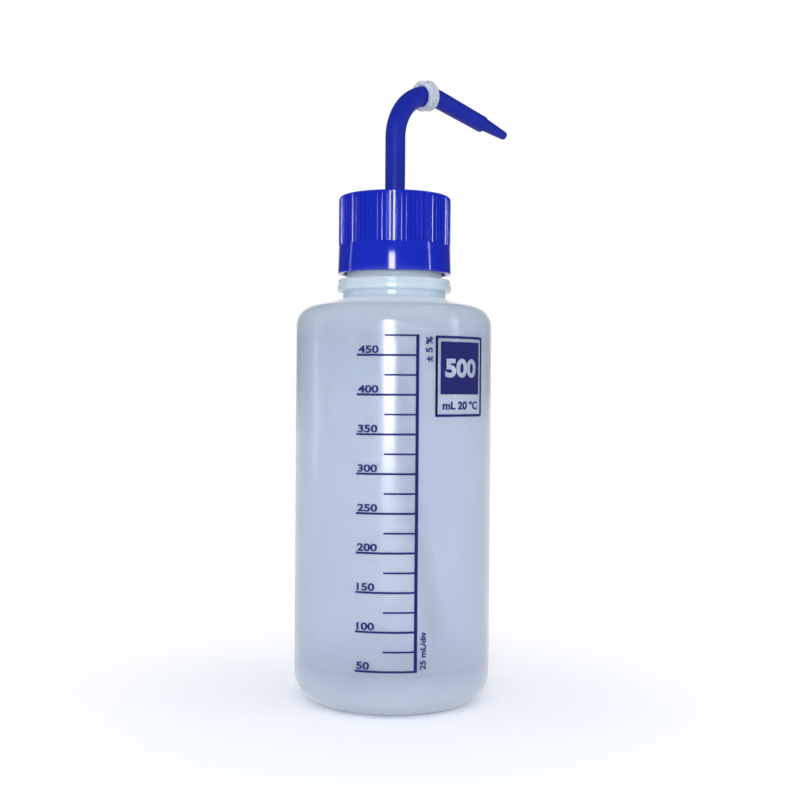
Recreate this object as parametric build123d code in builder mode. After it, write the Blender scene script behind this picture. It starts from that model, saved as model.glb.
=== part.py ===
"""A 500 mL squeeze wash bottle: a blow-moulded bottle, a ribbed screw cap on a coarse
thread, and a bent spout tube with its collar, jet tip and dip tube.

Millimetres. The origin is the centre of the standing ring, +Z is up through the neck,
and the spout points along +X. Angles round the bottle are degrees from +X towards +Y.
"""

import os
from math import atan2, cos, degrees, radians, sin, sqrt, tan

from build123d import *

# Bottle body
body_d = 72.0
body_top = 136.7  # height where the straight side ends
wall = 1.2
base_corner_r = 10.0
shoulder_corner_r = 7.6
shoulder_slope = 13.5  # degrees above level
foot_w = 4.6  # width of the flat standing ring
foot_step = 1.5  # 45 degree step from the standing ring up into the base
push_up = 3.4  # height of the base's hollow at its middle

# Neck, set out from its threaded upper part
finish_d = 35.2  # threaded part above the bead, without its thread
finish_h = 27.5
finish_wall = 2.0
rim_fillet_r = 0.5
neck_out = 1.4  # how far the plain neck under the bead stands out from the threaded part
neck_wall = 1.8
neck_fillet_r = 1.2
neck_rise = 2.6  # plain neck from the shoulder to the bead
bead_out = 2.1  # how far the bead stands out from the plain neck
bead_h = 4.5
bead_step = 0.3  # how far the bead's upper half is set back
bead_bevel = 0.8

# Screw thread shared by the neck and the cap
thread_pitch = 4.23
thread_depth = 1.1
thread_flank = 0.55  # how much a ridge narrows on each side, from root to crest
thread_play = 0.93  # what the two ridges together leave free of the pitch
thread_bite = 0.4  # how far a ridge is rooted in the wall that carries it
thread_drop = 3.0  # from the rim down to the middle of the neck ridge's upper end
neck_turns = 1.6
cap_turns = 1.4
thread_side_gap = 0.3  # between the two ridges on the side that pulls the cap down
thread_tip_gap = 0.3  # from a ridge's crest to the wall it faces

# Cap
cap_wall = 1.6  # skirt, from its inside to the ribs' outside
cap_top_t = 2.1
cap_edge_r = 1.5
cap_clear = 2.1  # from the bead up to the skirt's lower edge
mouth_bevel = 0.6
band_h = 10.4  # smooth band under the ribs
band_flare = 0.3  # how much the band widens, in radius, down to the mouth
rib_count = 72
groove_w = 1.0
groove_depth = 0.45
boss_wall = 1.8
boss_depth = 12.4  # socket for the spout tube under the cap's top
swivel_gap = 0.05  # radial running clearance of the tube in the socket

# Sealing liner
liner_t = 1.0
liner_edge_gap = 0.5  # to the inside of the skirt
liner_boss_gap = 0.4

# Spout tube
tube_d = 7.4
tube_wall = 1.4
riser_h = 22.1  # straight tube above the cap's top
bend_r = 18.0
droop = 13.6  # degrees that the nozzle falls below level
nozzle_step = 0.25  # how far the tube is set back, in radius, past the collar
nozzle_taper = 0.25  # how much the nozzle's radius loses to its end
nozzle_len = 24.4
seat_flare = 0.45  # small foot that rests on the cap
seat_flare_h = 1.2
stop_bead = 1.0  # how far the bead under the socket stands out
stop_bead_h = 1.2
stop_gap = 0.3
spigot_len = 10.0
spigot_d = 4.8
spigot_wall = 0.8

# Collar on the bend
collar_wall = 1.75
collar_len = 4.4
collar_clear = 0.03  # least gap of the straight ring on the inside of the bend
collar_back = 9.6  # degrees of bend from the collar back to the bend's highest point
collar_edge_r = 0.4

# Jet tip pushed into the nozzle
tip_len = 13.4
tip_d = 5.2
tip_end_d = 3.2
tip_nose_r = 0.7
tip_rise = 0.35  # the tip sits above the nozzle's axis
plug_len = 6.0
plug_gap = 0.05
plug_bore_d = 2.4
jet_d = 1.2
jet_len = 4.0

# Dip tube
dip_wall = 0.95
dip_gap = 0.05  # radial, on the spigot
dip_floor_gap = 8.8  # from the bottle's floor up to the middle of its lower end
dip_side_gap = 2.4  # from its lower end to the bottle's side
dip_heading = -86.0  # direction in which it leans

# Print on the body
ink_t = 0.12
ink_gap = 0.02
ink_overlap = 0.2  # how far a line runs under the bar
scale_heading = -120.0  # the upright bar
scale_low = 17.2  # height of the 50 mL line
scale_pitch = 13.55  # height of 50 mL
scale_top_gap = 4.0  # least distance from the highest line to the side's upper end
bar_w = 1.5
major_w = 0.7
minor_w = 0.6
major_len = 20.4  # along the body, from the bar's middle
minor_len = 10.6
panel_heading = -90.6  # the panel's middle
panel_w = 21.8
panel_h = 27.1
panel_drop = 4.7  # from the side's upper end down to the panel
frame_w = 0.9
field_margin = 2.0
field_h = 18.2

# Worked-out sizes of the bottle
body_r = body_d / 2
foot_out_r = body_r - base_corner_r
foot_in_r = foot_out_r - foot_w
dish_r = foot_in_r - foot_step
slope = radians(shoulder_slope)
shoulder_cx = body_r - shoulder_corner_r
finish_r = finish_d / 2
bore_r = finish_r - finish_wall
neck_r = finish_r + neck_out
neck_in_r = neck_r - neck_wall
bead_r = neck_r + bead_out


def shoulder_point(arc_r):
    """Where the shoulder's corner of this radius runs into its cone."""
    return shoulder_cx + arc_r * sin(slope), body_top + arc_r * cos(slope)


def cone_height(arc_r, at_r):
    """Height of the shoulder's cone at a radius."""
    from_r, from_z = shoulder_point(arc_r)
    return from_z + (from_r - at_r) * tan(slope)


inner_corner_r = base_corner_r - wall
inner_shoulder_r = shoulder_corner_r - wall
neck_z = cone_height(shoulder_corner_r, neck_r)
neck_in_z = cone_height(inner_shoulder_r, neck_in_r)
bead_z = neck_z + neck_rise
bead_mid = bead_z + bead_h / 2
bead_top = bead_z + bead_h
rim_z = bead_top + finish_h

# Worked-out sizes of the cap
cap_z = bead_top + cap_clear
cap_under = rim_z + liner_t
cap_top = cap_under + cap_top_t
band_top = cap_z + band_h
skirt_in_r = finish_r + thread_depth + thread_tip_gap
cap_r = skirt_in_r + cap_wall
tube_r = tube_d / 2
socket_r = tube_r + swivel_gap
boss_r = socket_r + boss_wall
boss_z = cap_under - boss_depth

# Thread ridges: the two are alike, and the cap's lies below the neck's
ridge_w = (thread_pitch - thread_play) / 2  # width at half its depth
half_root = (ridge_w + thread_flank) / 2
half_crest = (ridge_w - thread_flank) / 2
neck_thread_z = rim_z - thread_drop - neck_turns * thread_pitch
cap_thread_z = neck_thread_z - ridge_w - thread_side_gap
cap_thread_z += thread_tip_gap * thread_flank / thread_depth

# Worked-out sizes of the spout
spigot_top = boss_z - stop_gap - stop_bead_h
spout_low = spigot_top - spigot_len
bend_z = cap_top + riser_h
bend_turn = 90 + droop
turn_to_collar = 90 - collar_back
tube_bore_r = tube_r - tube_wall
nozzle_r = tube_r - nozzle_step
nozzle_bore_r = nozzle_r - tube_wall
spigot_r = spigot_d / 2
ring_inside = sqrt((bend_r - tube_r) ** 2 - (collar_len / 2) ** 2)
collar_in_r = bend_r - ring_inside + collar_clear
dip_in_r = spigot_r + dip_gap
dip_r = dip_in_r + dip_wall
dip_lean = body_r - wall - dip_side_gap - dip_r


def on_bend(turned):
    """Point of the bend's centreline after so many degrees, in the XZ plane."""
    return bend_r * (1 - cos(radians(turned))), bend_z + bend_r * sin(radians(turned))


def across_spout(at, fall):
    """Plane across the spout at a point of the XZ plane, facing the way out."""
    way_out = (cos(radians(fall)), 0, -sin(radians(fall)))
    return Plane(origin=(at[0], 0, at[1]), x_dir=(0, 1, 0), z_dir=way_out)


nozzle_plane = across_spout(on_bend(bend_turn), droop)
collar_plane = across_spout(on_bend(turn_to_collar), -collar_back)
tip_plane = nozzle_plane.offset(nozzle_len)


def upright(heading):
    """Upright plane through the axis, its x pointing outwards in a direction."""
    turn = radians(heading)
    outwards = (cos(turn), sin(turn), 0)
    return Plane(origin=(0, 0, 0), x_dir=outwards, z_dir=(sin(turn), -cos(turn), 0))


def turn_of(length):
    """Degrees that a length covers on the body's outside."""
    return degrees(length / body_r)


def ink_patch(start, end, low, high):
    """Film of ink on the body between two directions and two heights."""
    back_r = body_r + ink_gap
    face_r = back_r + ink_t
    with BuildPart() as patch:
        with BuildSketch(upright(start)):
            Polygon(
                (back_r, low), (face_r, low), (face_r, high), (back_r, high), align=None
            )
        revolve(axis=Axis.Z, revolution_arc=end - start)
    return patch.part


def thread_ridge(wall_r, crest_r, low_z, turns):
    """One screw ridge from its wall to its crest, as a part of its own."""
    to_root = 1 if crest_r < wall_r else -1
    root_r = wall_r + to_root * thread_bite
    with BuildPart() as ridge:
        with BuildLine() as path:
            Helix(thread_pitch, turns * thread_pitch, wall_r, center=(0, 0, low_z))
        with BuildSketch(Plane.XZ):
            with BuildLine():
                Polyline(
                    (root_r, low_z - half_root),
                    (wall_r, low_z - half_root),
                    (crest_r, low_z - half_crest),
                    (crest_r, low_z + half_crest),
                    (wall_r, low_z + half_root),
                    (root_r, low_z + half_root),
                    close=True,
                )
            make_face()
        sweep(path=path.line, is_frenet=True)
    return ridge.part


# Blow-moulded bottle: one wall turned round the axis, with the neck's screw ridge
with BuildPart() as bottle:
    with BuildSketch(Plane.XZ):
        with BuildLine():
            outer_dish = TangentArc((0, push_up), (dish_r, foot_step), tangent=(1, 0))
            Line(outer_dish @ 1, (foot_in_r, 0))
            Line((foot_in_r, 0), (foot_out_r, 0))
            CenterArc((foot_out_r, base_corner_r), base_corner_r, -90, 90)
            Line((body_r, base_corner_r), (body_r, body_top))
            CenterArc((shoulder_cx, body_top), shoulder_corner_r, 0, 90 - shoulder_slope)
            Line(shoulder_point(shoulder_corner_r), (neck_r, neck_z))
            Polyline(
                (neck_r, neck_z),
                (neck_r, bead_z),
                (bead_r - bead_bevel, bead_z),
                (bead_r, bead_z + bead_bevel),
                (bead_r, bead_mid),
                (bead_r - bead_step, bead_mid),
                (bead_r - bead_step, bead_top - bead_bevel),
                (bead_r - bead_step - bead_bevel, bead_top),
                (finish_r, bead_top),
                (finish_r, rim_z),
                (bore_r, rim_z),
                (bore_r, bead_mid),
                (neck_in_r, bead_z),
                (neck_in_r, neck_in_z),
            )
            Line((neck_in_r, neck_in_z), shoulder_point(inner_shoulder_r))
            CenterArc((shoulder_cx, body_top), inner_shoulder_r, 0, 90 - shoulder_slope)
            Line((body_r - wall, body_top), (body_r - wall, base_corner_r))
            CenterArc((foot_out_r, base_corner_r), inner_corner_r, -90, 90)
            Line((foot_out_r, wall), (foot_in_r, wall))
            inner_dish = TangentArc(
                (0, push_up + wall), (dish_r, foot_step + wall), tangent=(1, 0)
            )
            Line((foot_in_r, wall), inner_dish @ 1)
            Line((0, push_up), (0, push_up + wall))
        make_face()
    revolve(axis=Axis.Z)
    neck_root = bottle.edges().filter_by(GeomType.CIRCLE)
    neck_root = neck_root.filter_by(lambda e: abs(e.radius - neck_r) < 0.01)
    fillet(neck_root.sort_by(Axis.Z)[0], neck_fillet_r)
    fillet(bottle.edges().group_by(Axis.Z)[-1], rim_fillet_r)
    add(thread_ridge(finish_r, finish_r + thread_depth, neck_thread_z, neck_turns))
bottle.part.label = "bottle"

# Screw cap: skirt and top in one, ribbed above a smooth flared band
with BuildPart() as screw_cap:
    with BuildSketch(Plane.XZ):
        Polygon(
            (socket_r, boss_z),
            (boss_r, boss_z),
            (boss_r, cap_under),
            (skirt_in_r, cap_under),
            (skirt_in_r, cap_z + mouth_bevel),
            (skirt_in_r + mouth_bevel, cap_z),
            (cap_r + band_flare, cap_z),
            (cap_r, band_top),
            (cap_r, cap_top),
            (socket_r, cap_top),
            align=None,
        )
    revolve(axis=Axis.Z)
    top_rim = screw_cap.edges().group_by(Axis.Z)[-1].sort_by(SortBy.RADIUS)[-1]
    fillet(top_rim, cap_edge_r)
    with BuildSketch(Plane.XY.offset(band_top)):
        with PolarLocations(cap_r, rib_count):
            Rectangle(2 * groove_depth, groove_w)
    extrude(amount=cap_top - band_top, mode=Mode.SUBTRACT)
    add(thread_ridge(skirt_in_r, skirt_in_r - thread_depth, cap_thread_z, cap_turns))
screw_cap.part.label = "screw_cap"

# Liner: a loose sealing ring between the cap's top and the bottle's rim
with BuildPart() as cap_liner:
    with BuildSketch(Plane.XY.offset(rim_z)):
        Circle(skirt_in_r - liner_edge_gap)
        Circle(boss_r + liner_boss_gap, mode=Mode.SUBTRACT)
    extrude(amount=liner_t)
cap_liner.part.label = "cap_liner"

# Spout tube: spigot, stop bead, riser and bend, then the nozzle that tapers to its end
with BuildPart() as spout_tube:
    with BuildLine(Plane.XZ) as to_collar:
        Line((0, spigot_top), (0, bend_z))
        JernArc((0, bend_z), (0, 1), bend_r, -turn_to_collar)
    with BuildLine(Plane.XZ) as past_collar:
        climbing = (cos(radians(collar_back)), sin(radians(collar_back)))
        JernArc(on_bend(turn_to_collar), climbing, bend_r, turn_to_collar - bend_turn)
    with BuildSketch(Plane.XY.offset(spigot_top)):
        Circle(tube_r)
    sweep(path=to_collar.line)
    with BuildSketch(collar_plane):
        Circle(nozzle_r)
    sweep(path=past_collar.line)
    with BuildSketch(nozzle_plane):
        Circle(nozzle_r)
    extrude(amount=nozzle_len, taper=degrees(atan2(nozzle_taper, nozzle_len)))
    with BuildSketch(Plane.XZ):
        Polygon(
            (tube_r, cap_top + swivel_gap),
            (tube_r + seat_flare, cap_top + swivel_gap),
            (tube_r, cap_top + swivel_gap + seat_flare_h),
            align=None,
        )
    revolve(axis=Axis.Z)
    with BuildSketch(Plane.XY.offset(spigot_top)):
        Circle(tube_r + stop_bead)
    extrude(amount=stop_bead_h)
    with BuildSketch(Plane.XY.offset(spout_low)):
        Circle(spigot_r)
    extrude(amount=spigot_len)
    with BuildSketch(Plane.XY.offset(spout_low)):
        Circle(spigot_r - spigot_wall)
    extrude(amount=spigot_len, mode=Mode.SUBTRACT)
    with BuildSketch(Plane.XY.offset(spigot_top)):
        Circle(tube_bore_r)
    sweep(path=to_collar.line, mode=Mode.SUBTRACT)
    with BuildSketch(collar_plane):
        Circle(nozzle_bore_r)
    sweep(path=past_collar.line, mode=Mode.SUBTRACT)
    with BuildSketch(nozzle_plane):
        Circle(nozzle_bore_r)
    extrude(amount=nozzle_len, mode=Mode.SUBTRACT)
spout_tube.part.label = "spout_tube"

# Collar: a plain ring pushed on the bend
with BuildPart() as bend_collar:
    with BuildSketch(collar_plane):
        Circle(collar_in_r + collar_wall)
        Circle(collar_in_r, mode=Mode.SUBTRACT)
    extrude(amount=collar_len / 2, both=True)
    rims = bend_collar.edges().filter_by(GeomType.CIRCLE).group_by(SortBy.RADIUS)[-1]
    fillet(rims, collar_edge_r)
bend_collar.part.label = "bend_collar"

# Jet tip: a plug in the nozzle and a tapered tip with the fine jet hole
with BuildPart() as jet_tip:
    with BuildSketch(tip_plane):
        Circle(nozzle_bore_r - plug_gap)
    extrude(amount=-plug_len)
    with BuildSketch(tip_plane):
        with Locations((0, tip_rise)):
            Circle(tip_d / 2)
    extrude(amount=tip_len, taper=degrees(atan2((tip_d - tip_end_d) / 2, tip_len)))
    nose = jet_tip.edges().filter_by(GeomType.CIRCLE).sort_by(Axis.X)[-1]
    fillet(nose, tip_nose_r)
    with BuildSketch(tip_plane.offset(-plug_len)):
        with Locations((0, tip_rise)):
            Circle(plug_bore_d / 2)
    extrude(amount=plug_len + tip_len - jet_len, mode=Mode.SUBTRACT)
    with BuildSketch(tip_plane):
        with Locations((0, tip_rise)):
            Circle(jet_d / 2)
    extrude(amount=tip_len, mode=Mode.SUBTRACT)
jet_tip.part.label = "jet_tip"

# Dip tube: straight on the spigot, then one long gentle curve down to the bottle's corner
with BuildPart() as dip_tube:
    with BuildLine(upright(dip_heading)) as dip_path:
        Line((0, spigot_top), (0, spout_low))
        TangentArc((0, spout_low), (dip_lean, wall + dip_floor_gap), tangent=(0, -1))
    with BuildSketch(Plane.XY.offset(spigot_top)):
        Circle(dip_r)
    sweep(path=dip_path.line)
    with BuildSketch(Plane.XY.offset(spigot_top)):
        Circle(dip_in_r)
    sweep(path=dip_path.line, mode=Mode.SUBTRACT)
dip_tube.part.label = "dip_tube"

# Printed scale: an upright bar with a long line every 50 mL and a short one between
mark_step = scale_pitch / 2
mark_room = body_top - scale_top_gap - scale_low
mark_count = int(mark_room / mark_step) + 1
scale_top = scale_low + (mark_count - 1) * mark_step
bar_half_turn = turn_of(bar_w) / 2
with BuildPart() as printed_scale:
    add(
        ink_patch(
            scale_heading - bar_half_turn,
            scale_heading + bar_half_turn,
            scale_low - major_w / 2,
            scale_top + minor_w / 2,
        )
    )
    for mark in range(mark_count):
        is_major = mark % 2 == 0
        line_z = scale_low + mark * mark_step
        line_len = major_len if is_major else minor_len
        half_w = (major_w if is_major else minor_w) / 2
        line_end = scale_heading - bar_half_turn + turn_of(ink_overlap)
        line_start = scale_heading - turn_of(line_len)
        add(ink_patch(line_start, line_end, line_z - half_w, line_z + half_w))
printed_scale.part.label = "printed_scale"

# Printed panel: a thin frame round a solid field, with the space under the field left bare
panel_half_turn = turn_of(panel_w) / 2
panel_left = panel_heading - panel_half_turn
panel_right = panel_heading + panel_half_turn
frame_turn = turn_of(frame_w)
margin_turn = turn_of(field_margin)
panel_top = body_top - panel_drop
panel_low = panel_top - panel_h
with BuildPart() as printed_panel:
    add(ink_patch(panel_left, panel_right, panel_low, panel_top))
    add(
        ink_patch(
            panel_left + frame_turn,
            panel_right - frame_turn,
            panel_low + frame_w,
            panel_top - frame_w,
        ),
        mode=Mode.SUBTRACT,
    )
    add(
        ink_patch(
            panel_left + margin_turn,
            panel_right - margin_turn,
            panel_top - field_margin - field_h,
            panel_top - field_margin,
        )
    )
printed_panel.part.label = "printed_panel"

os.makedirs("parts", exist_ok=True)
pieces = (
    bottle,
    screw_cap,
    cap_liner,
    spout_tube,
    bend_collar,
    jet_tip,
    dip_tube,
    printed_scale,
    printed_panel,
)
for piece in pieces:
    export_step(piece.part, f"parts/{piece.part.label}.step")
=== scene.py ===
"""A 500 mL squeeze wash bottle in a plain white studio.

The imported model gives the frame. Every visible piece is turned, swept or set out here at
the sizes of the real mouldings, in millimetres, and is written into its mesh in metres.
Headings are degrees round the bottle, from +X towards +Y.
"""

from math import acos, asin, cos, degrees, pi, radians, sin, sqrt, tan

import bmesh
import bpy
from mathutils import Euler, Matrix, Vector
from mathutils.geometry import delaunay_2d_cdt, intersect_point_tri_2d


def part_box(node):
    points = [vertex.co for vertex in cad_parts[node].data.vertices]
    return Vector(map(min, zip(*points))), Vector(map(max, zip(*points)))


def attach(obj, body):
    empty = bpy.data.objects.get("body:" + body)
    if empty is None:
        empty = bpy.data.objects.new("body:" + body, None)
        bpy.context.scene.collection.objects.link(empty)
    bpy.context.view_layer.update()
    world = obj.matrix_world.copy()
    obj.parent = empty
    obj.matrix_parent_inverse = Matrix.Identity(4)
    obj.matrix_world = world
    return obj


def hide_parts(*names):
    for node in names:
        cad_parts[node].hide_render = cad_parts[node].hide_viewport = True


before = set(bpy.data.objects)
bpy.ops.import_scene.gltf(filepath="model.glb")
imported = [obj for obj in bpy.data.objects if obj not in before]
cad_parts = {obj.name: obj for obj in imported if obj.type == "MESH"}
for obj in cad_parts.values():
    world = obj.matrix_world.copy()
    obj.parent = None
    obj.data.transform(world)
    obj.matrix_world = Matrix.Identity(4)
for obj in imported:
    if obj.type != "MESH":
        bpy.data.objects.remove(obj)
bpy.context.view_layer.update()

MM = 0.001
SMOOTH_UNDER = radians(28)  # edges that turn by less than this are shaded round


def box_mm(node):
    """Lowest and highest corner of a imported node, in millimetres."""
    low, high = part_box(node)
    return low / MM, high / MM


# Sizes that the frame gives
bottle_low, bottle_high = box_mm("bottle")
cap_low, cap_high = box_mm("screw_cap")
body_r = (bottle_high.x - bottle_low.x) / 2
rim_z = bottle_high.z
cap_z = cap_low.z
cap_top = cap_high.z
mouth_r = cap_high.x

# Bottle, as blown
body_top = 136.7
wall = 1.2
base_corner_r = 10.0
shoulder_corner_r = 7.6
shoulder_slope = radians(13.5)
foot_w = 4.6
foot_step = 1.5
push_up = 3.4
neck_r = 19.0
neck_wall = 1.8
neck_fillet_r = 1.2
neck_rise = 2.6
bead_r = 21.1
bead_h = 4.5
bead_step = 0.3
bead_bevel = 0.8
finish_r = 17.6
finish_wall = 2.0
rim_fillet_r = 0.5
edge_r = 0.18  # of the bead's and the neck's small rounds
parting_heading = -30.0  # where the two halves of the blow mould met
parting_w = 0.5
parting_h = 0.07
# Height and share of cloudiness: the wall is thick at the base and towards the neck. The same
# share turns the wall's colour bluer and brighter, which is painted light: the blue cap's light at
# the neck, the sheet's light at the base.
milk_and_painted_light_stops = [(0, 0.75), (6, 0.6), (16, 0.1), (118, 0.0), (134, 0.2), (142, 0.6), (148, 1.0)]

# Screw thread
thread_pitch = 4.23
thread_depth = 1.1
half_root = 1.1
half_crest = 0.55
thread_bite = 0.4
neck_thread_z = rim_z - 3.0 - 1.6 * thread_pitch
neck_turns = 1.6
cap_thread_z = neck_thread_z - 1.8
cap_turns = 1.4

# Cap
skirt_in_r = 19.0
cap_r = 20.6
cap_under = rim_z + 1.0
cap_edge_r = 1.5
mouth_bevel = 0.6
mouth_edge_r = 0.25
band_top = cap_z + 10.4
rib_count = 72
rib_h = 0.45
groove_w = 1.0
rib_round_r = 0.36
rib_sunk = 0.15  # how far a rib starts inside the cap's wall
rib_foot_w = 0.1
band_edge_r = 0.12
socket_bevel = 0.2
socket_r = 3.75
boss_r = 5.55
boss_z = cap_under - 12.4

# Spout
tube_r = 3.7
tube_bore_r = 2.3
bend_r = 18.0
bend_z = cap_top + 22.1
droop = 13.6
nozzle_r = 3.45
nozzle_end_r = 3.2
nozzle_bore_r = 2.05
nozzle_len = 24.4
foot_gap = 0.05
foot_flare = 0.45
foot_flare_h = 1.2
foot_lip = 0.08
spout_bevel = 0.3
stop_r = 4.7
stop_h = 1.2
spigot_r = 2.4
spigot_bore_r = 1.6
spigot_len = 10.0
spigot_top = boss_z - 0.3 - stop_h

# Collar
collar_len = 4.4
collar_in_r = 3.9
collar_r = 5.65
collar_edge_r = 0.4
collar_back = 9.6
collar_waist = 0.22  # how far it is waisted between its two rims
collar_rim_w = 1.0
collar_bevel = 0.15

# Jet tip
tip_len = 13.4
tip_r = 2.6
tip_end_r = 1.6
tip_nose_r = 0.7
tip_rise = 0.35
plug_r = 2.0
plug_len = 6.0
plug_bore_r = 1.2
jet_r = 0.6
jet_len = 4.0

# Dip tube
dip_r = 3.4
dip_in_r = 2.45
dip_lean = 29.0
dip_end_h = 10.0
dip_heading = -86.0

# Print
ink_back_r = body_r + 0.02
ink_t = 0.12
scale_heading = -118.9
scale_low = 17.03
mark_step = 13.55 / 2
mark_count = 18
bar_w = 1.15
major_w = 0.7
minor_w = 0.6
major_len = 21.1
minor_len = 11.3
numeral_h = 2.65
numeral_stretch = 1.36
numeral_left = -20.6  # from the bar's middle, along the body
numeral_rise = 0.6  # clear of its line's middle
unit_h = 2.5
unit_left = 2.9
unit_z = 123.2
note_h = 2.15
note_left = 1.6
note_z = 17.6
unit_stretch = 1.15
panel_heading = -90.6
panel_w = 22.5
panel_h = 28.0
panel_top = body_top - 4.4
frame_w = 0.9
field_margin = 2.0
field_h = 18.2
volume_h = 6.6
volume_stretch = 1.2
volume_weight = 0.05
panel_unit_h = 3.0
panel_unit_rise = 1.6

# Camera, from the picture's vanishing lines and the ellipses of the cap and the base
photo_px = 800
focal_px = 1209
camera_heading = -132.0
camera_far = 447.8  # from the bottle's axis
camera_h = 115.2
camera_yaw = 0.31  # the axis stands this much left of the middle
camera_pitch = 0.71  # looking down
camera_roll = 0.43

# Studio
lit_level = 0.68  # of the soft light from all round
inside_level = 1.5  # of what lights the things inside, for the light that the wall loses
room_level = 0.08  # what plastic mirrors away from the backdrop
backdrop_reach = 21.0  # degrees each side of the view
backdrop_blur = 8.0
sheet_colour = 0.85
sheet_seen = 1.33  # its colour for the eye, so that it is white where no shadow falls
sheet_fade = (0.06, 0.16)  # metres from the axis, from shaded to plain white
sheet_reach = 6.0
# Name, heading from the camera's, distance, lower and upper end, width (metres) and watts
lamps = [
    ("strip_lamp", -5, 1.5, 0.0, 0.48, 0.3, 10.0),
    ("left_strip", -100, 0.9, 0.0, 0.7, 0.04, 0.4),
    ("right_strip", 75, 0.9, 0.1, 0.6, 0.03, 0.7),
]


def linear(code):
    """A colour written as sRGB hex, as linear values with alpha."""
    parts = [int(code[i : i + 2], 16) / 255 for i in (0, 2, 4)]
    return [p / 12.92 if p <= 0.04045 else ((p + 0.055) / 1.055) ** 2.4 for p in parts] + [1.0]


def add_node(tree, kind, settings=None, inputs=None):
    """Adds a node with its own settings, and fills its inputs with values or links."""
    made = tree.nodes.new(kind)
    for name, value in (settings or {}).items():
        setattr(made, name, value)
    for name, value in (inputs or {}).items():
        if isinstance(value, bpy.types.NodeSocket):
            tree.links.new(value, made.inputs[name])
        else:
            made.inputs[name].default_value = value
    return made


def new_tree(name, kinds, result):
    """A geometry tree with named inputs of these kinds and one resulting geometry.

    Returns it, its inputs as links, and the identifiers that set them on a modifier.
    """
    tree = bpy.data.node_groups.new(name, "GeometryNodeTree")
    names = {}
    for key, kind in kinds.items():
        socket = tree.interface.new_socket(key, in_out="INPUT", socket_type="NodeSocket" + kind)
        names[key] = socket.identifier
    tree.interface.new_socket(result, in_out="OUTPUT", socket_type="NodeSocketGeometry")
    return tree, add_node(tree, "NodeGroupInput").outputs, names


# Meshes


def new_piece(name, mesh):
    piece = bpy.data.objects.new(name, mesh)
    bpy.context.scene.collection.objects.link(piece)
    return piece


def spaced(start, end, steps):
    return [start + (end - start) * i / steps for i in range(steps + 1)]


def arc(cx, cz, r, start, end, steps):
    """Points of an arc in a section, angles in degrees from outwards towards up."""
    turns = [radians(t) for t in spaced(start, end, steps)]
    return [(cx + r * cos(t), cz + r * sin(t)) for t in turns]


def ring(out, up, facing, radius, heading=0.0):
    """A circle across a path that lies in the upright plane of a heading.

    Its middle is out and up in that plane, and the path climbs by facing degrees there.
    """
    f, h = radians(facing), radians(heading)
    away = Vector((cos(h), sin(h), 0))
    middle = away * out + Vector((0, 0, up))
    across = away * sin(f) - Vector((0, 0, cos(f)))
    return middle, across, Vector((-sin(h), cos(h), 0)), radius


def turned_rings(outline):
    """Circles round the bottle's axis for the points (radius, height) of an outline."""
    return [ring(0, z, 90, r) for r, z in outline]


def even_turns(count):
    return [2 * pi * i / count for i in range(count)]


def skin(name, rings, turns, closed, swell=None):
    """Joins circles into one skin. A circle of no radius is a pole.

    swell(turn, radius) may add to the radius of a point.
    """
    bm = bmesh.new()
    rows = []
    for middle, across, side, radius in rings:
        if radius == 0:
            rows.append([bm.verts.new(middle * MM)] * len(turns))
            continue
        row = []
        for turn in turns:
            r = radius + (swell(turn, radius) if swell else 0)
            row.append(bm.verts.new((middle + (across * cos(turn) + side * sin(turn)) * r) * MM))
        rows.append(row)
    count = len(turns)
    pairs = list(zip(rows, rows[1:]))
    if closed:
        pairs.append((rows[-1], rows[0]))
    for low, high in pairs:
        for i in range(count):
            corners = [low[i], low[(i + 1) % count], high[(i + 1) % count], high[i]]
            face = list(dict.fromkeys(corners))
            if len(face) > 2:
                bm.faces.new(face)
    return finished(name, bm)


def finished(name, bm):
    """Merges doubles, turns faces outwards and shades the round stretches smooth."""
    bmesh.ops.remove_doubles(bm, verts=bm.verts, dist=0.002 * MM)
    bmesh.ops.recalc_face_normals(bm, faces=bm.faces)
    return shaded(name, bm)


def shaded(name, bm):
    mesh = bpy.data.meshes.new(name)
    bm.to_mesh(mesh)
    bm.free()
    mesh.shade_smooth()
    mesh.set_sharp_from_angle(angle=SMOOTH_UNDER)
    return mesh


def thread_ridge(name, wall_r, crest_r, low_z, turns):
    """A screw ridge that fades in and out over the first and last part of its turn."""
    steps_a_turn = 72
    fade = 0.12
    inward = crest_r < wall_r
    root_r = wall_r + (thread_bite if inward else -thread_bite)
    bm = bmesh.new()
    rows = []
    steps = int(turns * steps_a_turn)
    for i in range(steps + 1):
        gone = turns * i / steps
        share = min(1.0, gone / fade, (turns - gone) / fade)
        share = sqrt(max(share, 0.0))
        crest = wall_r + (crest_r - wall_r) * share
        half = half_crest + (half_root - half_crest) * (1 - share)
        z = low_z + gone * thread_pitch
        section = [
            (root_r, z - half_root),
            (wall_r, z - half_root),
            (crest, z - half),
            (crest, z + half),
            (wall_r, z + half_root),
            (root_r, z + half_root),
        ]
        t = 2 * pi * gone
        rows.append([bm.verts.new((r * cos(t) * MM, r * sin(t) * MM, h * MM)) for r, h in section])
    for low, high in zip(rows, rows[1:]):
        for i in range(6):
            j = (i + 1) % 6
            bm.faces.new([low[i], low[j], high[j], high[i]])
    bm.faces.new(rows[0])
    bm.faces.new(rows[-1][::-1])
    return finished(name, bm)


def joined(name, *meshes):
    """One mesh from several closed ones."""
    bm = bmesh.new()
    for mesh in meshes:
        bm.from_mesh(mesh)
    return shaded(name, bm)


# Bottle


def shoulder_end(r):
    """Where the shoulder's corner of this radius runs into its slope."""
    middle = body_r - shoulder_corner_r
    return middle + r * sin(shoulder_slope), body_top + r * cos(shoulder_slope)


def slope_height(corner, at_r):
    out, up = shoulder_end(corner)
    return up + (out - at_r) * tan(shoulder_slope)


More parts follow.
